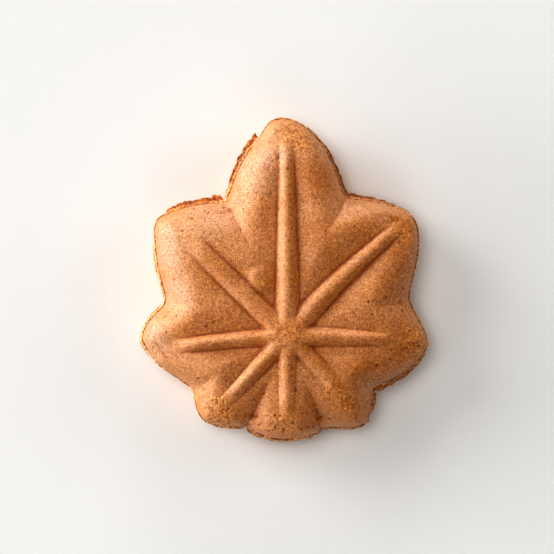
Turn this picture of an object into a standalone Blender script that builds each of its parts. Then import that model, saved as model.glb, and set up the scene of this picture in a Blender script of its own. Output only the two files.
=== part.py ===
"""Maple leaf cake: one filled sponge cake, baked whole in a two-part leaf mould.

Metres, +Z up.  The cake lies on its lower face with its longest lobe towards +Y, and the origin is
the bottom centre of its box.  It is one closed solid: a sphere pressed into the mould by formula.
Lobes, notches, veins and valleys are placed from the hub, the point where the eight veins meet.
"""
import math
from typing import NamedTuple

import bmesh
import bpy
import numpy as np

MM = 0.001

# Driving dimensions, millimetres and degrees.
NAME = "maple_leaf_cake"
SEAM_HEIGHT = 9.0          # the mould's parting plane above the ground
UPPER_RISE = 11.2          # crown of the upper half above the seam lip
LOWER_RISE = 9.3           # depth of the lower half below the seam lip, before it rests flat
UPPER_CROWN = 2.3          # how far the upper face has fallen away 40 mm from the hub
LOWER_CROWN = 0.9
CROWN_REACH = 40.0
SHOULDER_WIDTH = 8.4       # from the body's edge to where the face runs level
SHOULDER_POWER = 2.4       # 2 is a quarter ellipse, more is squarer
CORNER_ROUNDING = 3.0      # how far in from the edge the lobes' corners are rounded over
RELIEF_MARGIN = 2.5        # veins and valleys fade out over this strip at the edge
VEIN_ROUNDNESS = 2.0       # 1 is a sharp roof, 2 a round rod
CREST_ROUNDING = 0.35
VEIN_END = 6.5             # a vein sinks into its lobe over this length
HUB_HEIGHT = 0.75          # the rounded plateau where the veins meet
HUB_RADIUS = 4.6
LIP_THICKNESS = 1.0        # the thin flash of batter squeezed out along the seam
LIP_WIDTH = 0.45
CREASE_ROUNDING = 0.25     # rounds the bottom of a valley

# Mesh density.  Each half is rings round a pole, crossed by lanes that run out from the hub.
LANE_STEP = 2.1            # wanted spacing of the lanes along the outline, beside a vein's own
VEIN_LANES = 3             # lanes from a vein's crest to its foot
WIDEST_FLANK = 0.72        # the share of the way to the notch that a vein's lanes may take
RINGS = 36                 # from the top pole to the bottom pole
LIP_RINGS = 2              # rings of each half that shape the lip
OUTLINE_POINTS = 1440


class Curve(NamedTuple):
    """How one side of a lobe runs from tip to notch: a round tip has a high point, a wide notch
    a high waist."""

    point: float
    waist: float


class Lobe(NamedTuple):
    """One lobe and the notch on its clockwise side.  Angles run anticlockwise from +X."""

    notch_angle: float
    notch_radius: float
    tip_angle: float
    tip_radius: float
    clockwise: Curve
    anticlockwise: Curve


class Valley(NamedTuple):
    """The crease that runs from a notch towards the hub, between two lobes.

    Its width is that of the clockwise and the anticlockwise wall, and its bend is how far its
    inner end has strayed anticlockwise.
    """

    reach: float
    depth: float
    width: tuple[float, float]
    bend: float


class Vein(NamedTuple):
    """A raised vein in a soft trough, from the hub outwards.  Pairs are at the hub and at the end."""

    heading: float
    length: float
    bow: float
    width: tuple[float, float]
    height: tuple[float, float]
    trough: tuple[float, float]
    trough_spread: float


class Lanes(NamedTuple):
    """The mesh's lanes, one value each: the vein and notch they run between, and where between."""

    heading: np.ndarray
    notch: np.ndarray
    flank: np.ndarray
    field: np.ndarray
    base_width: np.ndarray
    tip_width: np.ndarray
    length: np.ndarray
    bow: np.ndarray


LOBES = {
    "upper_right": Lobe(15.8, 27.7, 44.0, 37.6, Curve(1.55, 1.65), Curve(1.40, 1.30)),
    "long": Lobe(66.5, 33.7, 91.5, 46.95, Curve(1.85, 1.35), Curve(1.70, 1.25)),
    "upper_left": Lobe(114.3, 33.5, 135.5, 38.1, Curve(1.25, 1.15), Curve(1.60, 1.50)),
    "left": Lobe(164.8, 27.9, 181.5, 32.0, Curve(1.90, 1.40), Curve(1.50, 1.75)),
    "lower_left": Lobe(210.5, 23.9, 226.0, 26.0, Curve(1.70, 1.25), Curve(1.50, 1.40)),
    "stem": Lobe(246.3, 22.5, 269.0, 23.2, Curve(10.0, 1.25), Curve(5.0, 1.60)),
    "lower_right": Lobe(291.0, 22.2, 312.0, 25.9, Curve(1.80, 1.90), Curve(1.40, 1.05)),
    "right": Lobe(327.2, 23.4, 354.0, 30.8, Curve(1.25, 1.20), Curve(1.80, 2.00)),
}

VALLEYS = {
    "upper_right": Valley(11.0, 2.4, (1.8, 2.6), 1.4),
    "long": Valley(12.5, 2.1, (1.7, 1.6), 1.6),
    "upper_left": Valley(12.0, 3.2, (3.2, 3.8), -1.0),
    "left": Valley(10.0, 1.0, (2.2, 1.5), -1.2),
    "lower_left": Valley(8.2, 1.9, (1.4, 2.6), -1.2),
    "stem": Valley(16.6, 4.4, (1.8, 3.4), 0.9),
    "lower_right": Valley(15.5, 3.0, (2.9, 2.8), -0.1),
    "right": Valley(8.2, 1.8, (1.6, 1.5), 1.0),
}

VEINS = {
    "upper_right": Vein(43.9, 35.0, 0.7, (5.6, 2.6), (1.6, 0.9), (1.0, 2.2), 5.2),
    "long": Vein(90.2, 43.5, -0.1, (5.6, 2.7), (2.3, 0.8), (1.4, 1.2), 4.6),
    "upper_left": Vein(135.6, 30.4, 0.1, (4.7, 3.5), (2.2, 0.6), (1.7, 0.1), 2.6),
    "left": Vein(185.8, 25.4, -0.2, (4.1, 2.9), (1.6, 1.3), (1.4, 0.6), 4.0),
    "lower_left": Vein(227.2, 21.2, 0.0, (4.5, 3.2), (1.7, 0.5), (1.0, 1.1), 4.3),
    "stem": Vein(269.9, 20.4, 0.0, (4.5, 3.1), (1.7, 0.3), (1.0, 0.2), 4.0),
    "lower_right": Vein(311.5, 20.2, 0.6, (4.2, 3.2), (1.4, 0.3), (1.0, 0.1), 4.2),
    "right": Vein(357.6, 23.6, 0.1, (5.0, 2.4), (1.7, 1.2), (0.9, 0.7), 4.8),
}

# Where the flash of batter stands out: the middle and the half width in degrees, and how far.
FLASHES = (
    (123.0, 10.0, 0.85),
    (107.0, 8.0, 0.75),
    (73.0, 9.0, 0.55),
    (57.0, 9.0, 0.60),
    (251.0, 5.0, 0.80),
)

CRUST_COLOUR = (0.56, 0.22, 0.087, 1.0)
CRUST_ROUGHNESS = 0.72


def clear_scene() -> None:
    """Remove whatever objects the open file holds."""
    for found in list(bpy.data.objects):
        bpy.data.objects.remove(found, do_unlink=True)


def ray(angle: float) -> tuple[float, float]:
    """Unit direction of an angle in degrees."""
    turn = math.radians(angle)
    return math.cos(turn), math.sin(turn)


def blend(ends: tuple[float, float], share: np.ndarray) -> np.ndarray:
    """From the first of two values to the second."""
    return ends[0] + (ends[1] - ends[0]) * share


def ease(low: float, high: float, value: np.ndarray) -> np.ndarray:
    """0 up to low, 1 from high, and a soft S between them."""
    share = np.clip((value - low) / (high - low), 0.0, 1.0)
    return share * share * (3.0 - 2.0 * share)


def side_radius(curve: Curve, tip: float, notch: float, share: np.ndarray) -> np.ndarray:
    """Radius along one side of a lobe; share is 0 at the tip and 1 at the notch."""
    return notch + (tip - notch) * (1.0 - share**curve.point) ** curve.waist


def seam_radius(angles: np.ndarray) -> np.ndarray:
    """Distance from the hub to the outer edge of the cake, for angles in degrees."""
    radius = np.zeros_like(angles)
    lobes = list(LOBES.values())
    for lobe, following in zip(lobes, lobes[1:] + lobes[:1]):
        turned = lobe.notch_angle + (angles - lobe.notch_angle) % 360.0
        end = lobe.notch_angle + (following.notch_angle - lobe.notch_angle) % 360.0
        before = turned <= lobe.tip_angle
        share = (lobe.tip_angle - turned) / (lobe.tip_angle - lobe.notch_angle)
        side = side_radius(lobe.clockwise, lobe.tip_radius, lobe.notch_radius, np.clip(share, 0, 1))
        radius = np.where(before, side, radius)
        after = (turned > lobe.tip_angle) & (turned < end)
        share = (turned - lobe.tip_angle) / (end - lobe.tip_angle)
        side = side_radius(lobe.anticlockwise, lobe.tip_radius, following.notch_radius, np.clip(share, 0, 1))
        radius = np.where(after, side, radius)
    return radius


def lip_width(angles: np.ndarray) -> np.ndarray:
    """How far the seam lip stands out from the body."""
    width = np.full_like(angles, LIP_WIDTH)
    for middle, spread, extra in FLASHES:
        away = (angles - middle + 180.0) % 360.0 - 180.0
        width += extra * np.exp(-((away / spread) ** 4))
    return width


def outline_distance(x: np.ndarray, y: np.ndarray) -> np.ndarray:
    """Distance from each place to the body's edge, seen from above.

    Close to the edge it is the shortest distance.  Farther in it is a mean over the whole edge
    that gives the same for a straight edge and leaves no crease at a lobe's corner.
    """
    angles = np.arange(OUTLINE_POINTS) * 360.0 / OUTLINE_POINTS
    radius = seam_radius(angles) - lip_width(angles)
    edge = np.stack([radius * np.cos(np.radians(angles)), radius * np.sin(np.radians(angles))], axis=1)
    nearest = np.full_like(x, np.inf)
    crowd = np.zeros_like(x)
    straight_edge = math.gamma(3.0) / (math.sqrt(math.pi) * math.gamma(2.5))
    for start, end in zip(edge, np.roll(edge, -1, axis=0)):
        run = end - start
        along = ((x - start[0]) * run[0] + (y - start[1]) * run[1]) / run.dot(run)
        along = np.clip(along, 0.0, 1.0)
        gap = (x - start[0] - along * run[0]) ** 2 + (y - start[1] - along * run[1]) ** 2
        nearest = np.minimum(nearest, gap)
        crowd += np.hypot(*run) / np.maximum(gap, 1e-4) ** 3
    shortest = np.sqrt(nearest)
    mean = (straight_edge * crowd) ** -0.2
    return shortest + (mean - shortest) * ease(0.5, CORNER_ROUNDING, shortest)


def veins(x: np.ndarray, y: np.ndarray) -> np.ndarray:
    """Height of the veins and their hub, less the depth of the troughs beside them."""
    ridge = np.zeros_like(x)
    trough = np.zeros_like(x)
    for vein in VEINS.values():
        cos, sin = ray(vein.heading)
        along = x * cos + y * sin
        share = np.clip(along / vein.length, 0.0, 1.0)
        across = y * cos - x * sin - vein.bow * np.sin(math.pi * share)
        away = np.hypot(across, np.maximum(0.0, along - vein.length) + np.maximum(0.0, -along))
        flank = 2.0 * np.hypot(away, CREST_ROUNDING) / blend(vein.width, share)
        rod = np.clip(1.0 - flank**VEIN_ROUNDNESS, 0.0, 1.0)
        rod *= 1.0 - ease(vein.length - VEIN_END, vein.length, along)
        ridge = np.maximum(ridge, blend(vein.height, share) * rod)
        hollow = np.exp(-((away / vein.trough_spread) ** 2))
        trough += (blend(vein.trough, share) * hollow) ** 4
    relief = ridge - trough**0.25
    plateau = np.exp(-((np.hypot(x, y) / HUB_RADIUS) ** 4))
    return relief + (HUB_HEIGHT - relief) * plateau


def valleys(x: np.ndarray, y: np.ndarray) -> np.ndarray:
    """Depth of the creases between the lobes, deepest at the notches."""
    depth = np.zeros_like(x)
    for name, valley in VALLEYS.items():
        lobe = LOBES[name]
        cos, sin = ray(lobe.notch_angle)
        share = np.clip((lobe.notch_radius - (x * cos + y * sin)) / valley.reach, 0.0, 1.0)
        across = y * cos - x * sin - valley.bend * share**2
        width = np.where(across > 0.0, valley.width[1], valley.width[0])
        wall = np.exp(-np.hypot(across, CREASE_ROUNDING) / width)
        depth = np.maximum(depth, valley.depth * (1.0 - ease(0.0, 1.0, share)) * wall)
    return depth


def face_height(x: np.ndarray, y: np.ndarray, rise: float, crown: float) -> np.ndarray:
    """How far one half's face stands off the seam lip."""
    inset = outline_distance(x, y)
    short = 1.0 - np.clip(inset / SHOULDER_WIDTH, 0.0, 1.0)
    shoulder = (1.0 - short**SHOULDER_POWER) ** (1.0 / SHOULDER_POWER)
    fall = crown * (np.hypot(x, y) / CROWN_REACH) ** 2
    shape = (veins(x, y) - valleys(x, y)) * np.clip(inset / RELIEF_MARGIN, 0.0, 1.0)
    return (rise - fall) * shoulder + shape


def lay_lanes() -> Lanes:
    """The mesh's lanes in order round the hub, with one along each notch and each vein."""
    rows = []
    names = list(LOBES)
    for name, following in zip(names, names[1:] + names[:1]):
        lobe = LOBES[name]
        vein = VEINS[name]
        next_notch = vein.heading + (LOBES[following].notch_angle - vein.heading) % 360.0
        for notch in (lobe.notch_angle, next_notch):
            fine = np.linspace(vein.heading, notch, OUTLINE_POINTS // 16)
            radius = seam_radius(fine)
            across = np.diff(radius * np.cos(np.radians(fine)))
            up = np.diff(radius * np.sin(np.radians(fine)))
            count = VEIN_LANES + round(float(np.hypot(across, up).sum()) / LANE_STEP)
            order = range(count) if notch > vein.heading else range(count, 0, -1)
            for lane in order:
                flank = min(lane / VEIN_LANES, 1.0)
                field = max(0.0, (lane - VEIN_LANES) / (count - VEIN_LANES))
                rows.append((vein.heading, notch, flank, field, *vein.width, vein.length, vein.bow))
    return Lanes(*np.array(rows).T)


def lane_angles(lanes: Lanes, stations: np.ndarray) -> np.ndarray:
    """Angles at which lanes stand, stations being how far out along their veins.

    Beside a vein the lanes keep to its flanks, so that its foot follows one of them.
    """
    share = np.clip(stations / lanes.length, 0.0, 1.0)
    half_width = (lanes.base_width + (lanes.tip_width - lanes.base_width) * share) / 2.0
    turn = lanes.notch - lanes.heading
    foot = np.degrees(np.arctan2(half_width, stations)) / np.abs(turn)
    foot = WIDEST_FLANK * foot / (foot**4 + WIDEST_FLANK**4) ** 0.25
    place = foot * lanes.flank + (1.0 - foot) * lanes.field
    bend = np.degrees(np.arctan2(lanes.bow * np.sin(math.pi * share), np.maximum(stations, 1.0)))
    return lanes.heading + place * turn + bend * (1.0 - place) ** 2


def press_half(rings: np.ndarray, lanes: Lanes, upper: bool) -> np.ndarray:
    """Places of one half's vertices.

    Args:
        rings: ring numbers from the pole, 0, to the seam.
        lanes: the lane of each vertex.
        upper: whether this is the half above the seam.
    """
    body_rings = RINGS // 2 - LIP_RINGS
    reach = np.sin(np.radians(90.0) * np.clip(rings / body_rings, 0.0, 1.0))
    angles = lane_angles(lanes, reach * seam_radius(lanes.heading))
    lip = lip_width(angles)
    lip_share = np.clip((rings - body_rings) / LIP_RINGS, 0.0, 1.0)
    radius = (seam_radius(angles) - lip) * reach + lip * np.sqrt(lip_share)
    x = radius * np.cos(np.radians(angles))
    y = radius * np.sin(np.radians(angles))
    half_lip = LIP_THICKNESS / 2.0 * np.sqrt(1.0 - lip_share**2)
    on_body = rings < body_rings
    if upper:
        face = np.where(on_body, face_height(x, y, UPPER_RISE, UPPER_CROWN), 0.0)
        z = SEAM_HEIGHT + half_lip + face
    else:
        face = np.where(on_body, face_height(x, y, LOWER_RISE, LOWER_CROWN), 0.0)
        z = np.maximum(SEAM_HEIGHT - half_lip - face, 0.0)
    return np.stack([x, y, z], axis=1)


def build_cake() -> bmesh.types.BMesh:
    """The cake as a sphere whose meridians and rings are pressed into the leaf mould."""
    lanes = lay_lanes()
    count = len(lanes.heading)
    bm = bmesh.new()
    bmesh.ops.create_uvsphere(bm, u_segments=count, v_segments=RINGS, radius=1.0)
    places = np.array([vert.co for vert in bm.verts])
    rings = np.round(np.arccos(np.clip(places[:, 2], -1.0, 1.0)) / math.pi * RINGS)
    turn = np.arctan2(places[:, 1], places[:, 0]) / (2.0 * math.pi) * count
    meridians = np.round(turn).astype(int) % count
    own = Lanes(*(values[meridians] for values in lanes))
    seam = RINGS // 2
    upper = press_half(np.minimum(rings, seam), own, True)
    lower = press_half(np.minimum(RINGS - rings, seam), own, False)
    pressed = np.where((rings <= seam)[:, None], upper, lower)
    pressed[:, :2] -= (pressed[:, :2].min(axis=0) + pressed[:, :2].max(axis=0)) / 2.0
    for vert, place in zip(bm.verts, pressed * MM):
        vert.co = place
    return bm


def crust_material() -> bpy.types.Material:
    """Matt golden-brown baked crust."""
    material = bpy.data.materials.new("crust")
    material.use_nodes = True
    shader = material.node_tree.nodes["Principled BSDF"]
    shader.inputs["Base Color"].default_value = CRUST_COLOUR
    shader.inputs["Roughness"].default_value = CRUST_ROUGHNESS
    shader.inputs["Metallic"].default_value = 0.0
    return material


def main() -> None:
    """Build the cake in a collection of its own."""
    clear_scene()
    collection = bpy.data.collections.new(NAME)
    bpy.context.scene.collection.children.link(collection)
    bm = build_cake()
    mesh = bpy.data.meshes.new(NAME)
    bm.to_mesh(mesh)
    bm.free()
    mesh.materials.append(crust_material())
    mesh.shade_smooth()
    cake = bpy.data.objects.new(NAME, mesh)
    collection.objects.link(cake)


main()
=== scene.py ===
"""Looks of a maple leaf cake: one filled sponge cake, baked whole in a two-part leaf mould.

The upper and the lower crust are pressed from flat grids into the same leaf form as the solid
cake, then roughened: slow swells of the dough, a fine crumb, pin holes and coarse open patches.
A bead of batter and its ragged flash run round the seam between them.  Metres, +Z up, in the
frame's place; the leaf itself is drawn in millimetres and degrees from the hub of its veins.
"""

import logging
import math
from dataclasses import dataclass, field
from enum import Enum

import bmesh
import bpy
import numpy as np
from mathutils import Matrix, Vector, kdtree, noise


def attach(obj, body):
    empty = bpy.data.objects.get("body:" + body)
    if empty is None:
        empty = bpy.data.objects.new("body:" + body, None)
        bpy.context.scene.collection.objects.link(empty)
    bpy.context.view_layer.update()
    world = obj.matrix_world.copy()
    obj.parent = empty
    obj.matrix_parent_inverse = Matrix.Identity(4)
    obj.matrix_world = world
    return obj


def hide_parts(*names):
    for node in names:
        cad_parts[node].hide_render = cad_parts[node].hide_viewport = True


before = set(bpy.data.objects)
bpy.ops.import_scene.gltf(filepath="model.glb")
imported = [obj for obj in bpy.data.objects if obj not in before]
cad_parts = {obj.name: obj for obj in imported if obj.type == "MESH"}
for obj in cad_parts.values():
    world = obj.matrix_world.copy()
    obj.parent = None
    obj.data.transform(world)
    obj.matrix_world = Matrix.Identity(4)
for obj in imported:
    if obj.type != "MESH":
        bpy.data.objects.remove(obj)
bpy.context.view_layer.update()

LOG = logging.getLogger("maple_leaf_cake")

MM = 0.001
NODE = "maple_leaf_cake"
BODY = "root"
PATCH_EDGE = 1.2        # a patch of crust has faded out at this share of its radius
LUMP_FALL = 0.9         # how fast the finer layers of the dough's lumps grow weaker
LUMP_STEP = 2.0         # how much finer each layer is than the one before


class Face(Enum):
    """The two halves of the mould."""

    UPPER = 1.0
    LOWER = -1.0


# --------------------------------------------------------------------------- the leaf form


@dataclass(frozen=True)
class Curve:
    """One side of a lobe: a round tip has a high point, a wide notch a high waist."""

    point: float
    waist: float


@dataclass(frozen=True)
class Lobe:
    """One lobe and the notch on its clockwise side.  Degrees anticlockwise from +X, and mm."""

    notch_angle: float
    notch_radius: float
    tip_angle: float
    tip_radius: float
    clockwise: Curve
    anticlockwise: Curve


@dataclass(frozen=True)
class Valley:
    """The crease from a notch towards the hub, between two lobes.

    Its width is given for the clockwise and the anticlockwise wall, and its bend is how far its
    inner end has strayed anticlockwise.  All in mm.
    """

    reach: float
    depth: float
    width: tuple[float, float]
    bend: float


@dataclass(frozen=True)
class Vein:
    """A raised vein in a soft trough.  Pairs hold the value at the hub and at the end, in mm."""

    heading: float
    length: float
    bow: float
    width: tuple[float, float]
    height: tuple[float, float]
    trough: tuple[float, float]
    trough_spread: float


@dataclass(frozen=True)
class Flash:
    """A stretch of seam, anticlockwise, where more batter was squeezed out.

    Degrees; its width in mm at the start and at the end; how orange, and how dark with scorching
    and painted shade, 0 to 1.
    """

    start: float
    end: float
    width: tuple[float, float]
    orange: float = 0.0
    scorch_and_shade: float = 0.0

    def spread(self, angles: np.ndarray, fade: float) -> np.ndarray:
        """How wide the stretch is round the seam.

        Args:
            angles: directions in degrees.
            fade: outside its ends it fades over these degrees.

        Returns:
            Its width in mm at each direction.
        """
        into, left = away_from(angles, self.start), -away_from(angles, self.end)
        width = between(self.width, np.clip(into / (self.end - self.start), 0.0, 1.0))
        return width * smooth(-fade, 0.0, into) * smooth(-fade, 0.0, left)


@dataclass(frozen=True)
class Patch:
    """A round patch of crust.

    Its middle is given from the hub, in degrees and mm, then its radius and its strength.
    """

    heading: float
    distance: float
    radius: float
    strength: float

    def share(self, places: np.ndarray, hard: float) -> np.ndarray:
        """How much of the patch is at each place.

        Args:
            places: one row each, in mm from the hub.
            hard: the patch is full up to this share of its radius.

        Returns:
            One share for each place, at most the patch's strength.
        """
        middle = polar(np.array(self.distance), np.array(self.heading))
        gap = np.hypot(*(places[:, :2] - middle).T)
        return self.strength * (1.0 - smooth(hard, PATCH_EDGE, gap / self.radius))


LOBES = {
    "upper_right": Lobe(15.8, 27.7, 44.0, 37.6, Curve(1.55, 1.65), Curve(1.40, 1.30)),
    "long": Lobe(66.5, 33.7, 91.5, 46.95, Curve(1.85, 1.35), Curve(1.70, 1.25)),
    "upper_left": Lobe(114.3, 33.5, 135.5, 38.1, Curve(1.25, 1.15), Curve(1.60, 1.50)),
    "left": Lobe(164.8, 27.9, 181.5, 32.0, Curve(1.90, 1.40), Curve(1.50, 1.75)),
    "lower_left": Lobe(210.5, 23.9, 226.0, 26.0, Curve(1.70, 1.25), Curve(1.50, 1.40)),
    "stem": Lobe(246.3, 22.5, 269.0, 23.2, Curve(10.0, 1.25), Curve(5.0, 1.60)),
    "lower_right": Lobe(291.0, 22.2, 312.0, 25.9, Curve(1.80, 1.90), Curve(1.40, 1.05)),
    "right": Lobe(327.2, 23.4, 354.0, 30.8, Curve(1.25, 1.20), Curve(1.80, 2.00)),
}

VALLEYS = {
    "upper_right": Valley(11.0, 2.4, (1.8, 2.6), 1.4),
    "long": Valley(12.5, 2.1, (1.7, 1.6), 1.6),
    "upper_left": Valley(16.0, 3.5, (2.6, 3.8), -1.2),
    "left": Valley(10.0, 1.0, (2.2, 1.5), -1.2),
    "lower_left": Valley(8.2, 1.9, (1.4, 2.6), -1.2),
    "stem": Valley(16.6, 4.4, (1.8, 3.4), 0.9),
    "lower_right": Valley(15.5, 3.7, (1.8, 2.6), -0.1),
    "right": Valley(8.2, 1.8, (1.6, 1.5), 1.0),
}

VEINS = {
    "upper_right": Vein(43.9, 35.0, 0.7, (5.4, 2.8), (1.8, 1.0), (1.1, 2.3), 5.0),
    "long": Vein(90.2, 43.5, -0.1, (5.7, 2.8), (2.5, 0.9), (1.5, 1.3), 4.6),
    "upper_left": Vein(135.6, 30.6, 0.1, (4.7, 4.2), (2.4, 0.8), (1.7, 0.3), 2.8),
    "left": Vein(185.8, 25.4, -0.2, (4.1, 3.0), (1.9, 1.8), (1.6, 1.4), 3.9),
    "lower_left": Vein(227.2, 21.2, 0.0, (4.4, 2.7), (2.0, 0.9), (1.2, 1.3), 4.2),
    "stem": Vein(269.9, 20.4, 0.0, (4.3, 3.1), (1.8, 0.4), (1.2, 0.3), 3.6),
    "lower_right": Vein(311.5, 20.2, 0.6, (4.2, 3.0), (1.4, 0.3), (1.1, 0.2), 4.2),
    "right": Vein(357.6, 23.6, 0.1, (5.0, 2.6), (1.8, 1.4), (1.0, 0.8), 4.8),
}

# The scorched share darkens flashes mostly on the side away from the window: partly real scorching,
# partly painted shade.
FLASHES = (
    Flash(45.0, 66.3, (0.25, 1.05), scorch_and_shade=0.9),
    Flash(66.7, 84.0, (0.95, 0.20), scorch_and_shade=1.0),
    Flash(99.0, 110.0, (1.55, 0.85), orange=1.0),
    Flash(110.6, 114.2, (0.85, 0.75)),
    Flash(115.6, 134.0, (1.50, 0.95), orange=1.0),
    Flash(146.0, 163.0, (0.60, 0.35), orange=0.1),
    Flash(167.0, 188.0, (0.50, 0.40), orange=0.1),
    Flash(231.0, 245.0, (0.15, 0.25), scorch_and_shade=0.8),
    Flash(247.0, 256.0, (1.10, 0.55), orange=0.5, scorch_and_shade=0.5),
    Flash(257.0, 284.0, (0.35, 0.35), scorch_and_shade=0.4),
    Flash(292.0, 314.0, (0.25, 0.25), scorch_and_shade=0.7),
    Flash(317.0, 326.5, (0.60, 0.95), scorch_and_shade=0.8),
    Flash(328.5, 352.0, (1.00, 0.60), scorch_and_shade=0.6),
)

OPEN_CRUMBS = (
    Patch(87.0, 43.6, 5.0, 0.9),
    Patch(43.5, 33.0, 4.0, 0.7),
    Patch(356.0, 27.5, 4.5, 1.0),
    Patch(348.0, 26.0, 4.0, 0.7),
    Patch(226.5, 21.8, 4.6, 1.0),
    Patch(241.0, 20.0, 3.0, 0.6),
    Patch(311.0, 15.5, 2.4, 0.9),
    Patch(311.0, 19.0, 2.6, 1.0),
    Patch(270.0, 20.5, 4.0, 0.6),
    Patch(115.0, 13.0, 2.4, 0.6),
    Patch(85.0, 13.0, 4.0, 0.4),
    Patch(0.0, 0.0, 5.0, 0.35),
)

# Patches of painted light: paler, bluer skin on the slopes that face the window.
PAINTED_LIGHT_PATCHES = (
    Patch(182.0, 29.0, 7.0, 0.7),
    Patch(148.0, 35.0, 9.0, 0.9),
    Patch(102.0, 38.0, 9.0, 1.0),
    Patch(125.0, 30.0, 7.0, 0.4),
    Patch(160.0, 26.0, 6.0, 0.7),
    Patch(222.0, 26.0, 5.0, 0.5),
)

# Patches of painted shade: browner skin on the side away from the window.
PAINTED_SHADE_PATCHES = (
    Patch(352.0, 27.0, 8.0, 0.8),
    Patch(340.0, 20.0, 6.0, 0.5),
    Patch(28.0, 30.0, 8.0, 0.7),
    Patch(46.0, 37.0, 7.0, 0.5),
    Patch(73.0, 37.0, 8.0, 0.7),
    Patch(318.0, 24.0, 6.0, 0.7),
    Patch(239.0, 20.0, 5.0, 0.6),
    Patch(283.0, 19.0, 4.0, 0.5),
)

MOUNDS = (
    Patch(115.4, 13.1, 2.6, 0.55),
)


def between(ends: tuple[float, float], share: np.ndarray) -> np.ndarray:
    """From the first of two values to the second."""
    return ends[0] + (ends[1] - ends[0]) * share


def smooth(low: float, high: float, value: np.ndarray) -> np.ndarray:
    """0 up to low, 1 from high, and a soft S between them."""
    share = np.clip((value - low) / (high - low), 0.0, 1.0)
    return share * share * (3.0 - 2.0 * share)


def away_from(angles: np.ndarray, middle: float) -> np.ndarray:
    """Signed turn in degrees from a middle direction."""
    return (angles - middle + 180.0) % 360.0 - 180.0


def polar(radius: np.ndarray, angles: np.ndarray) -> np.ndarray:
    """Places from distances and degrees round the hub."""
    turn = np.radians(angles)
    return np.stack([radius * np.cos(turn), radius * np.sin(turn)], axis=-1)


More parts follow.
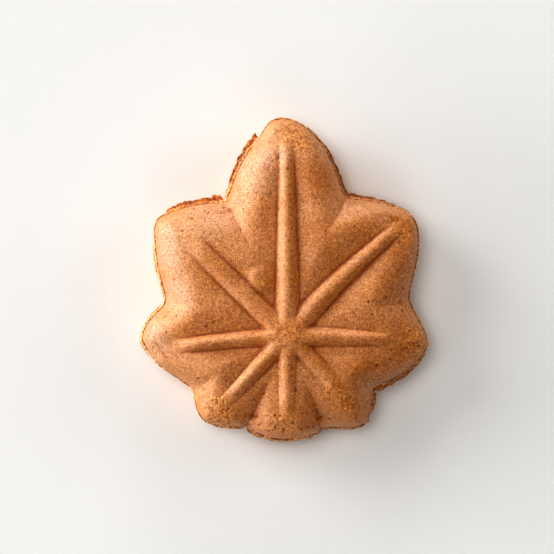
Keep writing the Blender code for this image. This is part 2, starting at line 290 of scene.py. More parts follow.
@dataclass
class LeafForm:
    """The mould's form, in millimetres from the hub, the point where the eight veins meet."""

    seam_height: float = 9.0
    shoulder_width: float = 8.4
    shoulder_power: float = 2.4
    relief_margin: float = 2.5
    crown_reach: float = 40.0
    vein_roundness: float = 2.0    # 1 is a sharp roof, 2 a round rod
    crest_rounding: float = 0.35
    vein_end: float = 6.5          # a vein sinks into its lobe over this length
    hub_height: float = 0.75       # the rounded plateau where the veins meet
    hub_radius: float = 4.6
    crease_rounding: float = 0.25
    corner_start: float = 0.5      # the lobes' corners begin to round over this far from the edge
    corner_rounding: float = 3.0   # and are fully rounded this far in
    lip_width: float = 0.58
    lip_thickness: float = 1.0
    flash_fade: float = 5.0        # the body draws in for the flash over these degrees
    most_lean: float = 2.0
    outline_points: int = 1440
    centre: np.ndarray = field(init=False)

    def __post_init__(self) -> None:
        """Find the middle of the leaf's box, which stands over the frame's origin."""
        angles = np.arange(self.outline_points) * 360.0 / self.outline_points
        edge = polar(self.seam_radius(angles), angles)
        self.centre = (edge.min(axis=0) + edge.max(axis=0)) / 2.0

    @staticmethod
    def side_radius(curve: Curve, tip: float, notch: float, share: np.ndarray) -> np.ndarray:
        """Distance along one side of a lobe; share is 0 at the tip and 1 at the notch."""
        return notch + (tip - notch) * (1.0 - share**curve.point) ** curve.waist

    def seam_radius(self, angles: np.ndarray) -> np.ndarray:
        """Distance from the hub to the outer edge of the seam.

        Args:
            angles: directions in degrees.

        Returns:
            One distance in mm for each direction.
        """
        radius = np.zeros_like(angles, dtype=float)
        lobes = list(LOBES.values())
        for lobe, following in zip(lobes, lobes[1:] + lobes[:1]):
            turned = lobe.notch_angle + (angles - lobe.notch_angle) % 360.0
            end = lobe.notch_angle + (following.notch_angle - lobe.notch_angle) % 360.0
            before = turned <= lobe.tip_angle
            share = np.clip((lobe.tip_angle - turned) / (lobe.tip_angle - lobe.notch_angle), 0, 1)
            side = self.side_radius(lobe.clockwise, lobe.tip_radius, lobe.notch_radius, share)
            radius = np.where(before, side, radius)
            after = (turned > lobe.tip_angle) & (turned < end)
            share = np.clip((turned - lobe.tip_angle) / (end - lobe.tip_angle), 0, 1)
            notch = following.notch_radius
            side = self.side_radius(lobe.anticlockwise, lobe.tip_radius, notch, share)
            radius = np.where(after, side, radius)
        return radius

    @staticmethod
    def flash_width(angles: np.ndarray, fade: float) -> np.ndarray:
        """How far the squeezed-out batter stands out beyond the plain lip, in mm."""
        return np.max([flash.spread(angles, fade) for flash in FLASHES], axis=0)

    def lean(self, angles: np.ndarray) -> np.ndarray:
        """How much longer a step across the seam is when it is taken towards the hub.

        Args:
            angles: directions in degrees.

        Returns:
            1 where the seam runs square to the direction, and more where it slants.
        """
        step = 2.5
        change = self.seam_radius(angles + step) - self.seam_radius(angles - step)
        slope = change / math.radians(2.0 * step) / self.seam_radius(angles)
        return np.minimum(np.hypot(1.0, slope), self.most_lean)

    def body_radius(self, angles: np.ndarray) -> np.ndarray:
        """Distance from the hub to the body's edge, inside the lip."""
        width = self.lip_width + self.flash_width(angles, self.flash_fade)
        return self.seam_radius(angles) - width * self.lean(angles)

    def inset(self, x: np.ndarray, y: np.ndarray) -> np.ndarray:
        """Distance from the body's edge, seen from above, without creases at the lobes' corners.

        Close to the edge it is the shortest distance.  Farther in it is a mean over the whole
        edge that gives the same for a straight edge and rounds the corners over.

        Args:
            x: places in mm.
            y: places in mm.

        Returns:
            One distance in mm for each place.
        """
        angles = np.arange(self.outline_points) * 360.0 / self.outline_points
        edge = polar(self.body_radius(angles), angles)
        nearest = np.full_like(x, np.inf)
        crowd = np.zeros_like(x)
        straight_edge = math.gamma(3.0) / (math.sqrt(math.pi) * math.gamma(2.5))
        for start, end in zip(edge, np.roll(edge, -1, axis=0)):
            run = end - start
            along = ((x - start[0]) * run[0] + (y - start[1]) * run[1]) / run.dot(run)
            along = np.clip(along, 0.0, 1.0)
            gap = (x - start[0] - along * run[0]) ** 2 + (y - start[1] - along * run[1]) ** 2
            nearest = np.minimum(nearest, gap)
            crowd += np.hypot(*run) / np.maximum(gap, 1e-4) ** 3
        shortest = np.sqrt(nearest)
        mean = (straight_edge * crowd) ** -0.2
        inner = smooth(self.corner_start, self.corner_rounding, shortest)
        return shortest + (mean - shortest) * inner

    def veins(self, x: np.ndarray, y: np.ndarray) -> np.ndarray:
        """Height of the veins and their hub, less the troughs beside them.

        Args:
            x: places in mm.
            y: places in mm.

        Returns:
            One height in mm for each place.
        """
        ridge = np.zeros_like(x)
        trough = np.zeros_like(x)
        for vein in VEINS.values():
            cos, sin = math.cos(math.radians(vein.heading)), math.sin(math.radians(vein.heading))
            along = x * cos + y * sin
            share = np.clip(along / vein.length, 0.0, 1.0)
            across = y * cos - x * sin - vein.bow * np.sin(math.pi * share)
            beyond = np.maximum(0.0, along - vein.length) + np.maximum(0.0, -along)
            away = np.hypot(across, beyond)
            flank = 2.0 * np.hypot(away, self.crest_rounding) / between(vein.width, share)
            rod = np.clip(1.0 - flank**self.vein_roundness, 0.0, 1.0)
            rod *= 1.0 - smooth(vein.length - self.vein_end, vein.length, along)
            ridge = np.maximum(ridge, between(vein.height, share) * rod)
            hollow = np.exp(-((away / vein.trough_spread) ** 2))
            trough += (between(vein.trough, share) * hollow) ** 4
        relief = ridge - trough**0.25
        for mound in MOUNDS:
            middle = polar(np.array(mound.distance), np.array(mound.heading))
            gap = np.hypot(x - middle[0], y - middle[1]) / mound.radius
            relief = np.maximum(relief, relief + mound.strength * np.exp(-(gap**4)))
        plateau = np.exp(-((np.hypot(x, y) / self.hub_radius) ** 4))
        return relief + (self.hub_height - relief) * plateau

    def valleys(self, x: np.ndarray, y: np.ndarray) -> np.ndarray:
        """Depth of the creases between the lobes, deepest at the notches.

        Args:
            x: places in mm.
            y: places in mm.

        Returns:
            One depth in mm for each place.
        """
        depth = np.zeros_like(x)
        for name, valley in VALLEYS.items():
            lobe = LOBES[name]
            turn = math.radians(lobe.notch_angle)
            inward = lobe.notch_radius - (x * math.cos(turn) + y * math.sin(turn))
            share = np.clip(inward / valley.reach, 0.0, 1.0)
            across = y * math.cos(turn) - x * math.sin(turn) - valley.bend * share**2
            width = np.where(across > 0.0, valley.width[1], valley.width[0])
            wall = np.exp(-np.hypot(across, self.crease_rounding) / width)
            depth = np.maximum(depth, valley.depth * (1.0 - smooth(0.0, 1.0, share)) * wall)
        return depth


# --------------------------------------------------------------------------- mesh helpers


def read_places(bm: bmesh.types.BMesh) -> np.ndarray:
    """The vertices' places, one row each."""
    return np.array([vert.co for vert in bm.verts])


def read_normals(bm: bmesh.types.BMesh) -> np.ndarray:
    """The vertices' directions, one row each."""
    bm.normal_update()
    return np.array([vert.normal for vert in bm.verts])


def move_to(bm: bmesh.types.BMesh, places: np.ndarray) -> None:
    """Put every vertex at its row's place."""
    for vert, place in zip(bm.verts, places):
        vert.co = place


def lumps(places: np.ndarray, size: float, octaves: int, seed: float) -> np.ndarray:
    """Fractal noise.

    Args:
        places: one row each, in mm.
        size: width of the largest lumps, in mm.
        octaves: how many finer layers there are.
        seed: moves the pattern.

    Returns:
        One value each, about -1 to 1.
    """
    shift = Vector((seed, 2.7 * seed, -1.3 * seed))
    return np.array(
        [noise.fractal(Vector(p) / size + shift, LUMP_FALL, LUMP_STEP, octaves) for p in places]
    )


def store(mesh: bpy.types.Mesh, name: str, values: np.ndarray) -> None:
    """Keep one number for each vertex, for the finish to read."""
    mesh.attributes.new(name, "FLOAT", "POINT").data.foreach_set("value", values.astype(np.float32))


def add_piece(bm: bmesh.types.BMesh, name: str, material: bpy.types.Material) -> bpy.types.Object:
    """Make a finished piece that stands for the cake's solid and rides with it.

    Args:
        bm: the shape in metres; it is freed.
        name: the piece's name.
        material: its finish.

    Returns:
        The new object.
    """
    mesh = bpy.data.meshes.new(name)
    bm.to_mesh(mesh)
    bm.free()
    mesh.materials.append(material)
    mesh.shade_smooth()
    piece = bpy.data.objects.new(name, mesh)
    bpy.context.scene.collection.objects.link(piece)
    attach(piece, BODY)
    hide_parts(NODE)
    return piece


# --------------------------------------------------------------------------- the crust halves


@dataclass
class CrustHalf:
    """One half of the crust, closed by a flat face at the seam.

    A square grid is laid over the leaf: its rings run round the hub, the outermost down the wall.
    """

    form: LeafForm
    face: Face
    name: str
    rise: float
    crown: float
    rings: int
    swell: float = 0.10        # slow unevenness of the dough, mm
    swell_size: float = 9.0
    crumb: float = 0.035       # the crumb's own relief, mm
    crumb_size: float = 0.9
    coarse: float = 0.16       # relief where the crumb lies open, mm
    coarse_size: float = 0.8
    wall_fade: float = 1.2     # the relief dies away this near the seam, mm
    open_core: float = 0.3     # an open patch is full up to this share of its radius
    tear_size: float = 3.0     # width of the tears in the open patches, mm
    tearing: float = 1.1
    stray: float = 0.25        # how open the crumb lies in tears outside the patches
    painted_core: float = 0.1    # a patch of painted light or painted shade is full up to this share of its radius
    mottle: float = 0.5        # unevenness of the patches of painted light and painted shade
    mottle_size: float = 5.0
    pores: int = 420
    pore_radius: tuple[float, float] = (0.16, 0.34)
    pore_mouth: float = 1.4    # a pore's mouth and depth as shares of its radius
    pore_depth: float = 0.8
    smoothings: int = 24       # steps of the smoothed copy that shows where the creases are, for their painted shade
    crease_shade_depth: tuple[float, float] = (0.02, 0.28)  # from nothing to a full crease of painted shade, mm
    seed: int = 11

    def build(self, material: bpy.types.Material) -> bpy.types.Object:
        """Shape and finish the half.

        Args:
            material: the crust's finish.

        Returns:
            The finished piece.
        """
        bm = bmesh.new()
        bmesh.ops.create_grid(bm, x_segments=2 * self.rings, y_segments=2 * self.rings, size=1.0)
        self.close(bm, self.press(read_places(bm)))
        normals = read_normals(bm)
        places = read_places(bm)
        # The crease depth drives painted shade in the creases.
        hollow = self.crease_shade_share(bm, places, normals)
        opened = self.open_share(places)
        # Painted light on the window side.
        painted_light = self.light_and_shade_share(places, PAINTED_LIGHT_PATCHES)
        # Painted shade on the side away from the window.
        painted_shade = self.light_and_shade_share(places, PAINTED_SHADE_PATCHES)
        wall = smooth(0.0, self.wall_fade, np.abs(places[:, 2] - self.form.seam_height))
        relief = self.swell * lumps(places, self.swell_size, 2, self.seed)
        relief += self.crumb * lumps(places, self.crumb_size, 3, self.seed + 1)
        relief += self.coarse * opened * lumps(places, self.coarse_size, 3, self.seed + 2)
        pores = self.pore_depths(places, opened)
        places += normals * ((relief - pores) * wall)[:, None]
        places[:, 2] = np.maximum(places[:, 2], 0.0)
        places[:, :2] -= self.form.centre
        move_to(bm, places * MM)
        piece = add_piece(bm, self.name, material)
        # The pores' depth is kept for painted shade in the pits.
        store(piece.data, "pore", np.clip(pores / self.pore_radius[0], 0.0, 1.0))
        store(piece.data, "open", opened)
        # The finish paints shade in the creases, light in the pale patches and shade in the brown
        # ones.
        store(piece.data, "hollow", hollow)
        store(piece.data, "painted_light", painted_light)
        store(piece.data, "painted_shade", painted_shade)
        return piece

    def crease_shade_share(
        self, bm: bmesh.types.BMesh, places: np.ndarray, normals: np.ndarray
    ) -> np.ndarray:
        """How deep each place lies in a crease, 0 to 1, against a smoothed copy; it sets painted
        shade.

        Args:
            bm: the pressed shape; it stays as it is.
            places: its vertices in mm.
            normals: their directions.

        Returns:
            One share for each vertex.
        """
        soft = bm.copy()
        for _ in range(self.smoothings):
            bmesh.ops.smooth_vert(soft, verts=soft.verts, factor=0.5,
                                  use_axis_x=True, use_axis_y=True, use_axis_z=True)
        sunk = np.einsum("ij,ij->i", read_places(soft) - places, normals)
        soft.free()
        return smooth(*self.crease_shade_depth, sunk)

    def press(self, grid: np.ndarray) -> np.ndarray:
        """Lay a flat square grid over the leaf and press it into the mould.

        Args:
            grid: the grid's vertices, from -1 to 1.

        Returns:
            Places in mm from the hub.
        """
        u, v = grid[:, 0], grid[:, 1]
        across = np.abs(u) > np.abs(v)
        ring = np.where(across, u, v)
        other = np.where(across, v, u) / np.where(ring == 0.0, 1.0, ring)
        angles = np.where(across, 45.0 * other, 90.0 - 45.0 * other)
        angles += np.where(ring < 0.0, 180.0, 0.0)
        count = np.round(np.abs(ring) * self.rings)
        reach = np.sin(math.pi / 2.0 * np.clip(count / (self.rings - 1), 0.0, 1.0))
        flat = polar(self.form.body_radius(angles) * reach, angles)
        half_lip = np.where(count < self.rings, self.form.lip_thickness / 2.0, 0.0)
        height = self.height(flat[:, 0], flat[:, 1]) * (count < self.rings - 1)
        z = self.form.seam_height + self.face.value * (half_lip + height)
        return np.stack([flat[:, 0], flat[:, 1], np.maximum(z, 0.0)], axis=1)

    def height(self, x: np.ndarray, y: np.ndarray) -> np.ndarray:
        """How far the face stands off the seam lip.

        Args:
            x: places in mm.
            y: places in mm.

        Returns:
            One height in mm for each place.
        """
        form = self.form
        inset = form.inset(x, y)
        short = 1.0 - np.clip(inset / form.shoulder_width, 0.0, 1.0)
        shoulder = (1.0 - short**form.shoulder_power) ** (1.0 / form.shoulder_power)
        fall = self.crown * (np.hypot(x, y) / form.crown_reach) ** 2
        margin = np.clip(inset / form.relief_margin, 0.0, 1.0)
        return (self.rise - fall) * shoulder + (form.veins(x, y) - form.valleys(x, y)) * margin

    def close(self, bm: bmesh.types.BMesh, places: np.ndarray) -> None:
        """Shape the grid and close it with a fan to a point under the hub.

        Args:
            bm: the flat grid.
            places: where its vertices go, in mm.
        """
        move_to(bm, places)
        rim = [edge for edge in bm.edges if edge.is_boundary]
        made = bmesh.ops.extrude_edge_only(bm, edges=rim)["geom"]
        inner = [item for item in made if isinstance(item, bmesh.types.BMVert)]
        bmesh.ops.pointmerge(bm, verts=inner, merge_co=(0.0, 0.0, self.form.seam_height))
        bmesh.ops.recalc_face_normals(bm, faces=bm.faces)

    def open_share(self, places: np.ndarray) -> np.ndarray:
        """How open the crumb lies: in the patches, torn by lumps.

        Args:
            places: vertices in mm.

        Returns:
            One share for each, 0 to 1.
        """
        opened = np.max([patch.share(places, self.open_core) for patch in OPEN_CRUMBS], axis=0)
        torn = lumps(places, self.tear_size, 4, self.seed + 5)
        strays = self.stray * smooth(0.15, 0.6, torn)
        return np.clip(opened + self.tearing * torn * opened + strays, 0.0, 1.0)

    def light_and_shade_share(self, places: np.ndarray, patches: tuple[Patch, ...]) -> np.ndarray:
        """How much painted light or painted shade the crust takes: in soft patches, mottled by
        lumps.

        Args:
            places: vertices in mm.
            patches: the patches of painted light, or those of painted shade.

        Returns:
            One share for each vertex, 0 to 1.
        """
        mottle = 1.0 + self.mottle * lumps(places, self.mottle_size, 3, self.seed + 6)
        tinted = np.max([patch.share(places, self.painted_core) for patch in patches], axis=0)
        return np.clip(tinted * mottle, 0.0, 1.0)

    def pore_depths(self, places: np.ndarray, opened: np.ndarray) -> np.ndarray:
        """Pits at seeded places, closer together where the crumb lies open and towards the edge.

        Args:
            places: vertices in mm.
            opened: how open the crumb is at each.

        Returns:
            How far each vertex sinks, in mm.
        """
        draw = np.random.default_rng(self.seed)
        tree = kdtree.KDTree(len(places))
        for index, place in enumerate(places):
            tree.insert(place, index)
        tree.balance()
        reach = np.hypot(places[:, 0], places[:, 1])
        clear = np.abs(places[:, 2] - self.form.seam_height) > 1.0
        weight = clear * (0.5 + 0.5 * opened) * reach
        chosen = draw.choice(len(places), size=self.pores, replace=False, p=weight / weight.sum())
        depth = np.zeros(len(places))
        for index in chosen:
            radius = self.pore_radius[0] + np.ptp(self.pore_radius) * draw.random() ** 3
            mouth = self.pore_mouth * radius
            for _, other, distance in tree.find_range(places[index], mouth):
                share = max(0.0, 1.0 - (distance / mouth) ** 2)
                depth[other] = max(depth[other], self.pore_depth * radius * share**1.5)
        return depth


# --------------------------------------------------------------------------- the seam


@dataclass
class SeamFlash:
    """The round bead of batter along the seam, and the ragged flash squeezed out beyond it."""

    form: LeafForm
    name: str = "seam_flash"
    around: int = 1400
    section: int = 56
    depth: float = 1.2         # how far it reaches into the body, mm
    bead: float = 0.32         # the bead's half width; its crest stands this far off the wall
    crease: float = 0.78       # the thickness by the wall as a share of the bead's
    sheet: float = 0.40        # the flash's thickness as a share of the bead's
    ragged: float = 0.42       # share of the flash that the raggedness takes
    ragged_size: float = 1.3
    ragged_edge: float = 1.6   # how abrupt the tears are
    wavy: float = 0.16         # share of the lip that wanders
    wave_size: float = 1.6
    end_fade: float = 0.8      # a flash ends over these degrees
    grit: float = 0.05         # the batter's own relief, mm
    grit_size: float = 0.9
    flash_start: tuple[float, float] = (0.30, 0.55)  # bead turns into flash, mm off the wall
    toned_width: tuple[float, float] = (0.05, 0.20)  # flash of this width takes its tone, mm
    seed: int = 41

    def build(self, material: bpy.types.Material) -> bpy.types.Object:
        """Wrap a grid into a thin ring round the seam.

        Args:
            material: the flash's finish.

        Returns:
            The finished piece.
        """
        form = self.form
        bm = bmesh.new()
        bmesh.ops.create_grid(bm, x_segments=self.around, y_segments=self.section, size=0.5)
        grid = read_places(bm) + 0.5
        angles = grid[:, 0] * 360.0
        turn = grid[:, 1] * 2.0 * math.pi
        strip = np.column_stack([polar(form.seam_radius(angles), angles), np.zeros(len(angles))])
        torn = self.ragged_edge * lumps(strip, self.ragged_size, 4, self.seed)
        torn = 0.5 - 0.5 * np.clip(torn, -1.0, 1.0)
        flash = form.flash_width(angles, self.end_fade) * (1.0 - self.ragged * torn)
        wave = lumps(strip, self.wave_size, 3, self.seed + 1)
        lip = form.lip_width * (1.0 - self.wavy * (1.0 - wave))
        outward = np.cos(turn) * np.where(np.cos(turn) > 0.0, lip + flash, self.depth)
        thick = self.half_thickness(outward, lip + flash)
        flat = polar(form.body_radius(angles) + outward * form.lean(angles), angles)
        z = form.seam_height + thick * np.sign(np.round(np.sin(turn), 6))
        move_to(bm, np.column_stack([flat, z]))
        bmesh.ops.remove_doubles(bm, verts=bm.verts, dist=1e-4)
        bmesh.ops.recalc_face_normals(bm, faces=bm.faces)
        normals = read_normals(bm)
        places = read_places(bm)
        relief = self.grit * (lumps(places, self.grit_size, 3, self.seed + 2) - 1.0)
        out = np.degrees(np.arctan2(places[:, 1], places[:, 0]))
        beyond = (np.hypot(places[:, 0], places[:, 1]) - form.body_radius(out)) / form.lean(out)
        outside = smooth(*self.flash_start, beyond)
        places += normals * (relief * (1.0 + outside))[:, None]
        places[:, :2] -= form.centre
        move_to(bm, places * MM)
        piece = add_piece(bm, self.name, material)
        orange = self.tone(out, [flash.orange for flash in FLASHES])
        # Scorching darkens the flash: partly real scorching, partly painted shade on the side away
        # from the window.
        scorch_and_shade = self.tone(out, [flash.scorch_and_shade for flash in FLASHES])
        store(piece.data, "open", outside * orange)
        store(piece.data, "scorch_and_shade", outside * scorch_and_shade)
        return piece

    def tone(self, angles: np.ndarray, strengths: list[float]) -> np.ndarray:
        """How strong a tone of the flashes is at each direction, 0 to 1."""
        widths = [flash.spread(angles, self.end_fade) for flash in FLASHES]
        shares = [smooth(*self.toned_width, width) for width in widths]
        return np.max([share * strength for share, strength in zip(shares, strengths)], axis=0)

    def half_thickness(self, outward: np.ndarray, reach: np.ndarray) -> np.ndarray:
        """Half the band's thickness: a round bead by the wall, and a thinner sheet in and out.

        Args:
            outward: distance out from the wall, mm.
            reach: how far the band reaches out there, mm.

        Returns:
            One half thickness in mm for each.
        """
        half = self.form.lip_thickness / 2.0
        bead = np.sqrt(np.clip(1.0 - ((outward - self.bead) / self.bead) ** 2, 0.0, 1.0))
        edge = np.where(outward > 0.0, outward / reach, outward / self.depth)
        sheet = np.where(outward < self.bead, self.crease, self.sheet)
        sheet *= np.sqrt(np.clip(1.0 - edge**6, 0.0, 1.0))
        return half * np.maximum(bead * np.sqrt(np.clip(1.0 - edge**8, 0.0, 1.0)), sheet)


# --------------------------------------------------------------------------- finishes


class Tree:
    """A node tree that is filled step by step."""

    def __init__(self, tree: bpy.types.NodeTree) -> None:
        """Keep the tree to fill."""
        self.tree = tree

    def add(self, kind: str, inputs: dict | None = None, **settings: object) -> bpy.types.Node:
        """Add a node.

        Args:
            kind: the node's type.
            inputs: for each input, by name or number, a value or the socket that feeds it.
            settings: the node's own properties.

        Returns:
            The new node.
        """
        node = self.tree.nodes.new(kind)
        for name, value in settings.items():
            setattr(node, name, value)
        for key, value in (inputs or {}).items():
            if isinstance(value, bpy.types.NodeSocket):
                self.tree.links.new(value, node.inputs[key])
            else:
                node.inputs[key].default_value = value
        return node

    def math(self, operation: str, *values: object) -> bpy.types.NodeSocket:
        """One sum on numbers or sockets."""
        return self.add("ShaderNodeMath", dict(enumerate(values)), operation=operation).outputs[0]

    def ramp(
        self, value: object, low: float, high: float, start: float, end: float
    ) -> bpy.types.NodeSocket:
        """A value from low to high, eased into start to end."""
        inputs = {"Value": value, "From Min": low, "From Max": high, "To Min": start, "To Max": end}
        return self.add("ShaderNodeMapRange", inputs, interpolation_type="SMOOTHSTEP").outputs[0]

    def mix(self, share: object, first: object, second: object) -> bpy.types.NodeSocket:
        """Two colours mixed by a share."""
        colours = {0: share, 6: first, 7: second}
        return self.add("ShaderNodeMix", colours, data_type="RGBA").outputs[2]

    def tint(self, share: object, colour: object, glaze: object) -> bpy.types.NodeSocket:
        """A colour multiplied by another, by a share."""
        node = self.add("ShaderNodeMix", {0: share, 6: colour, 7: glaze}, data_type="RGBA",
                        blend_type="MULTIPLY")
        return node.outputs[2]


def new_group(
    name: str, inputs: dict[str, str], outputs: dict[str, str]
) -> tuple[Tree, dict, dict]:
    """A shader node group with named sockets.

    Args:
        name: the group's name.
        inputs: socket types by name.
        outputs: socket types by name.

    Returns:
        The tree, the inner sockets of its inputs and those of its outputs.
    """
    group = bpy.data.node_groups.new(name, "ShaderNodeTree")
    for socket, kind in inputs.items():
        group.interface.new_socket(socket, in_out="INPUT", socket_type=kind)
    for socket, kind in outputs.items():
        group.interface.new_socket(socket, in_out="OUTPUT", socket_type=kind)
    entry = group.nodes.new("NodeGroupInput")
    leave = group.nodes.new("NodeGroupOutput")
    return Tree(group), entry.outputs, leave.inputs


NUMBER = "NodeSocketFloat"
VECTOR = "NodeSocketVector"


def crumb_group() -> bpy.types.NodeTree:
    """Fine crumb: soft grains on two scales, as a height and a tone."""
    fine_share, slow_rate = 0.8, 0.31
    tree, entry, leave = new_group(
        "crumb", {"Place": VECTOR, "Grain": NUMBER}, {"Height": NUMBER, "Tone": NUMBER}
    )
    place = entry["Place"]
    rate = tree.math("DIVIDE", 1.0, entry["Grain"])
    fine = tree.add("ShaderNodeTexNoise", {"Vector": place, "Scale": rate, "Detail": 3.0,
                                           "Roughness": 0.65}).outputs[0]
    slower = tree.math("MULTIPLY", rate, slow_rate)
    slow = tree.add("ShaderNodeTexNoise", {"Vector": place, "Scale": slower,
                                           "Detail": 2.0}).outputs[0]
    fine = tree.math("MULTIPLY", fine, fine_share)
    height = tree.math("MULTIPLY_ADD", slow, 1.0 - fine_share, fine)
    tree.tree.links.new(height, leave["Height"])
    tree.tree.links.new(tree.ramp(height, 0.37, 0.63, 0.0, 1.0), leave["Tone"])
    return tree.tree


def pin_hole_group() -> bpy.types.NodeTree:
    """Pin holes: some cells hold a small pit near their middle, darkened by painted shade."""
    tree, entry, leave = new_group(
        "pin_holes", {"Place": VECTOR, "Spacing": NUMBER, "Share": NUMBER}, {"Mask": NUMBER}
    )
    rate = tree.math("DIVIDE", 1.0, entry["Spacing"])
    cells = tree.add("ShaderNodeTexVoronoi", {"Vector": entry["Place"], "Scale": rate,
                                              "Randomness": 1.0})
    drawn = tree.add("ShaderNodeSeparateColor", {"Color": cells.outputs["Color"]})
    chosen = tree.math("LESS_THAN", drawn.outputs[0], entry["Share"])
    radius = tree.math("MULTIPLY_ADD", drawn.outputs[1], 0.12, 0.08)
    near = tree.math("SUBTRACT", 1.0, tree.math("DIVIDE", cells.outputs["Distance"], radius))
    mask = tree.math("MULTIPLY", chosen, tree.ramp(near, 0.0, 0.5, 0.0, 1.0))
    tree.tree.links.new(mask, leave["Mask"])
    return tree.tree


@dataclass(frozen=True)
class CrustFinish:
    """Baked crust: pinkish tan skin, orange where the crumb lies open, with painted shade in its
    pits, creases and far side, and painted light on its window side.
    """

    name: str
    skin: tuple[float, float, float] = (0.63, 0.278, 0.084)
    tanned: tuple[float, float, float] = (0.59, 0.238, 0.052)
    crumb_dark: tuple[float, float, float] = (0.50, 0.155, 0.010)
    crumb_pale: tuple[float, float, float] = (0.78, 0.360, 0.070)
    # Dark brown for scorching and for the painted shade in pores and pin holes.
    scorch_and_shade_brown: tuple[float, float, float] = (0.30, 0.095, 0.010)
    # Painted shade in the creases.
    crease_shade: tuple[float, float, float] = (0.64, 0.42, 0.10)
    # Painted light: paler, bluer skin on the window side.
    painted_light: tuple[float, float, float] = (1.00, 1.18, 1.80)
    # Painted shade: browner skin on the side away from the window.
    painted_shade: tuple[float, float, float] = (0.90, 0.74, 0.40)
    dark_grain: tuple[float, float, float] = (0.54, 0.36, 0.10)
    pale_grain: tuple[float, float, float] = (1.46, 1.68, 2.40)
    roughness: tuple[float, float] = (0.44, 0.56)
    refraction: float = 1.80
    specular: float = 0.78
    blotch: float = 6.25       # width of the paler and browner blotches of the skin, mm
    grain: float = 0.19        # mm
    granule: float = 0.55      # mm
    bump: float = 0.12         # mm
    cover: float = 0.85        # how fully open crumb, scorching with painted shade and the pores' painted shade hide the skin
    hole_spacing: float = 1.1  # mm
    hole_share: float = 0.36
    hole_depth: float = 0.9    # as a share of the bump
    # how dark the painted shade in the pin holes is
    hole_cover: float = 0.7

    def build(self, crumb: bpy.types.NodeTree, holes: bpy.types.NodeTree) -> bpy.types.Material:
        """Make the material.

        Args:
            crumb: the shared crumb pattern.
            holes: the shared pin holes.

        Returns:
            The material.
        """
        material = bpy.data.materials.new(self.name)
        material.use_nodes = True
        tree = Tree(material.node_tree)
        shader = material.node_tree.nodes["Principled BSDF"]
        coords = tree.add("ShaderNodeTexCoord")
        place = tree.add("ShaderNodeVectorMath", {0: coords.outputs["Object"], "Scale": 1.0 / MM},
                         operation="SCALE").outputs[0]
        grain = tree.add("ShaderNodeGroup", {"Place": place, "Grain": self.grain}, node_tree=crumb)
        tone, height = grain.outputs["Tone"], grain.outputs["Height"]
        pits = tree.add("ShaderNodeGroup", {"Place": place, "Spacing": self.hole_spacing,
                                            "Share": self.hole_share}, node_tree=holes).outputs[0]
        colour = self.grained_and_shaded(tree, self.tinted(tree, place), tone, pits)
        tree.tree.links.new(colour, shader.inputs["Base Color"])
        gloss = tree.ramp(tone, 0.0, 1.0, self.roughness[1], self.roughness[0])
        tree.tree.links.new(gloss, shader.inputs["Roughness"])
        sunk = tree.math("SUBTRACT", height, tree.math("MULTIPLY", pits, self.hole_depth))
        bump = tree.add("ShaderNodeBump", {"Height": sunk, "Strength": 1.0,
                                           "Distance": self.bump * MM})
        tree.tree.links.new(bump.outputs[0], shader.inputs["Normal"])
        shader.inputs["IOR"].default_value = self.refraction
        shader.inputs["Specular IOR Level"].default_value = self.specular
        return material

    @staticmethod
    def mark(tree: Tree, name: str) -> bpy.types.NodeSocket:
        """One of the numbers kept for each vertex."""
        return tree.add("ShaderNodeAttribute", attribute_name=name).outputs["Fac"]

    def tinted(self, tree: Tree, place: bpy.types.NodeSocket) -> bpy.types.NodeSocket:
        """The skin's colour, paler with painted light on the window side and browner with painted
        shade on the far side.

        Args:
            tree: the material's tree.
            place: places in mm.

        Returns:
            The colour.
        """
        blotch = tree.add("ShaderNodeTexNoise", {"Vector": place, "Scale": 1.0 / self.blotch,
                                                 "Detail": 3.0}).outputs[0]
        toast = tree.ramp(blotch, 0.35, 0.65, 0.0, 1.0)
        colour = tree.mix(toast, (*self.tanned, 1.0), (*self.skin, 1.0))
        # Painted light on the window side, painted shade on the side away from it.
        colour = tree.tint(self.mark(tree, "painted_light"), colour, (*self.painted_light, 1.0))
        colour = tree.tint(self.mark(tree, "painted_shade"), colour, (*self.painted_shade, 1.0))
        granules = tree.add("ShaderNodeTexNoise", {"Vector": place, "Scale": 1.0 / self.granule,
                                                   "Detail": 2.0}).outputs[0]
        crumbs = tree.mix(tree.ramp(granules, 0.38, 0.62, 0.0, 1.0), (*self.crumb_dark, 1.0),
                          (*self.crumb_pale, 1.0))
        opened = tree.math("MULTIPLY", self.mark(tree, "open"), self.cover)
        colour = tree.mix(opened, colour, crumbs)
        # Scorching, with painted shade on the flash's side away from the window.
        scorch_and_shade = tree.math("MULTIPLY", self.mark(tree, "scorch_and_shade"), self.cover)
        return tree.mix(scorch_and_shade, colour, (*self.scorch_and_shade_brown, 1.0))

    def grained_and_shaded(
        self, tree: Tree, colour: bpy.types.NodeSocket, tone: bpy.types.NodeSocket,
        pits: bpy.types.NodeSocket,
    ) -> bpy.types.NodeSocket:
        """The colour with its grain, deepened in the creases and darkened in pores and pin holes by
        painted shade.

        Args:
            tree: the material's tree.
            colour: the baked colour.
            tone: the grain's tone.
            pits: where the pin holes are.

        Returns:
            The finished colour.
        """
        grains = tree.mix(tone, (*self.dark_grain, 1.0), (*self.pale_grain, 1.0))
        colour = tree.tint(1.0, colour, grains)
        # Painted shade in the creases.
        colour = tree.tint(self.mark(tree, "hollow"), colour, (*self.crease_shade, 1.0))
        # Painted shade in the pores and pin holes.
        pore = tree.math("MULTIPLY", self.mark(tree, "pore"), self.cover)
        dark = tree.math("MAXIMUM", pore, tree.math("MULTIPLY", pits, self.hole_cover))
        return tree.mix(dark, colour, (*self.scorch_and_shade_brown, 1.0))


# --------------------------------------------------------------------------- the studio


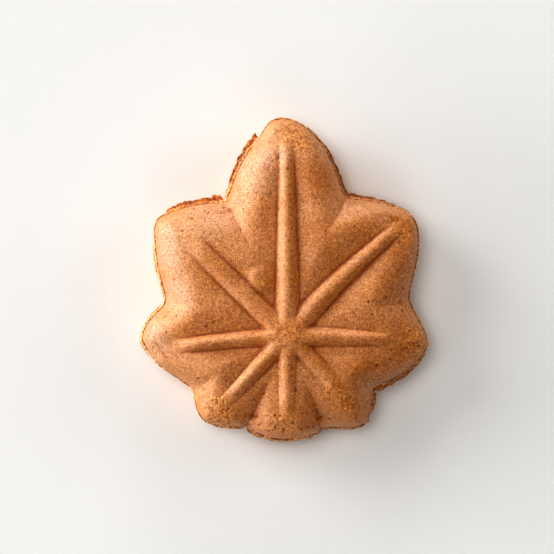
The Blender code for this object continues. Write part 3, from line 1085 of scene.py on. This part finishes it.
@dataclass(frozen=True)
class SoftLight:
    """A square of soft light, facing the cake: degrees, metres and watts."""

    name: str
    turn: float                # where it stands seen from the cake, anticlockwise from +X
    rise: float                # and how high
    distance: float
    size: float
    power: float
    mirrored: bool = True      # whether it shows in the crust's gloss

    def build(self) -> None:
        """Hang the light, facing the cake."""
        turn, rise = math.radians(self.turn), math.radians(self.rise)
        level = math.cos(rise)
        way = Vector((math.cos(turn) * level, math.sin(turn) * level, math.sin(rise)))
        lamp = bpy.data.lights.new(self.name, "AREA")
        lamp.shape = "SQUARE"
        lamp.size = self.size
        lamp.energy = self.power
        light = bpy.data.objects.new(self.name, lamp)
        light.location = way * self.distance
        light.rotation_euler = way.to_track_quat("Z", "Y").to_euler()
        light.visible_glossy = self.mirrored
        bpy.context.scene.collection.objects.link(light)


@dataclass
class Studio:
    """Pale floor, a long low window on the left, weak light from the room, and the camera."""

    lights: tuple[SoftLight, ...] = (
        SoftLight("window_front", 217.0, 8.0, 4.5, 2.3, 43.0),
        SoftLight("window_left", 180.0, 8.0, 4.5, 2.0, 62.0),
        SoftLight("window_middle", 150.0, 8.0, 4.5, 2.0, 72.0),
        SoftLight("window_right", 120.0, 8.0, 4.5, 2.0, 19.0),
        SoftLight("window_back", 90.0, 8.0, 4.5, 2.0, 58.0),
        SoftLight("window_top", 150.0, 33.0, 4.5, 2.0, 37.0),
        SoftLight("overhead", 150.0, 80.0, 1.6, 0.7, 6.2, mirrored=False),
        SoftLight("room_front", 277.0, 42.0, 2.5, 1.1, 3.5, mirrored=False),
        SoftLight("room_right", 22.0, 30.0, 2.5, 1.3, 7.8, mirrored=False),
    )
    camera_height: float = 1.0
    camera_shift: tuple[float, float] = (-0.0015, 0.0006)
    lens: float = 299.3
    world: float = 0.045
    world_colour: tuple[float, float, float] = (1.0, 0.99, 0.97)
    floor_size: float = 1.5    # half its width, metres
    floor_colour: tuple[float, float, float] = (0.86, 0.855, 0.84)

    def build(self) -> None:
        """Set up the floor, the lights and the camera."""
        self.add_floor()
        for light in self.lights:
            light.build()
        self.add_world()
        self.add_camera()
        self.add_tone()

    def add_floor(self) -> None:
        """A wide pale sheet under the cake."""
        bm = bmesh.new()
        bmesh.ops.create_grid(bm, x_segments=1, y_segments=1, size=self.floor_size)
        mesh = bpy.data.meshes.new("floor")
        bm.to_mesh(mesh)
        bm.free()
        material = bpy.data.materials.new("floor")
        material.use_nodes = True
        shader = material.node_tree.nodes["Principled BSDF"]
        shader.inputs["Base Color"].default_value = (*self.floor_colour, 1.0)
        shader.inputs["Roughness"].default_value = 0.9
        shader.inputs["Specular IOR Level"].default_value = 0.1
        mesh.materials.append(material)
        floor = bpy.data.objects.new("floor", mesh)
        bpy.context.scene.collection.objects.link(floor)

    def add_world(self) -> None:
        """The room's own weak light."""
        world = bpy.data.worlds.new("room")
        world.use_nodes = True
        background = world.node_tree.nodes["Background"]
        background.inputs["Color"].default_value = (*self.world_colour, 1.0)
        background.inputs["Strength"].default_value = self.world
        bpy.context.scene.world = world

    def add_camera(self) -> None:
        """The camera, straight above."""
        data = bpy.data.cameras.new("camera")
        data.lens = self.lens
        data.clip_start = 0.01
        camera = bpy.data.objects.new("camera", data)
        camera.location = (*self.camera_shift, self.camera_height)
        bpy.context.scene.collection.objects.link(camera)
        bpy.context.scene.camera = camera

    def add_tone(self) -> None:
        """A plain picture of strong contrast."""
        bpy.context.scene.view_settings.view_transform = "Standard"
        bpy.context.scene.view_settings.look = "Very High Contrast"


def main() -> None:
    """Build the cake and its studio, and report each piece."""
    logging.basicConfig(level=logging.INFO, format="%(message)s")
    crumb, holes = crumb_group(), pin_hole_group()
    crust = CrustFinish("crust").build(crumb, holes)
    batter = CrustFinish(
        "flash",
        skin=(0.80, 0.52, 0.25),
        tanned=(0.70, 0.38, 0.14),
        crumb_dark=(0.30, 0.07, 0.006),
        crumb_pale=(0.62, 0.21, 0.025),
        specular=0.4,
        grain=0.4,
    ).build(crumb, holes)
    form = LeafForm()
    halves = (
        CrustHalf(form, Face.UPPER, "upper_crust", rise=11.0, crown=2.3, rings=156),
        CrustHalf(form, Face.LOWER, "lower_crust", rise=9.3, crown=0.9, rings=110, seed=23),
    )
    made = [half.build(crust) for half in halves]
    made.append(SeamFlash(form).build(batter))
    Studio().build()
    for piece in made:
        LOG.info("%s: %d faces", piece.name, len(piece.data.polygons))


if __name__ == "__main__":
    main()
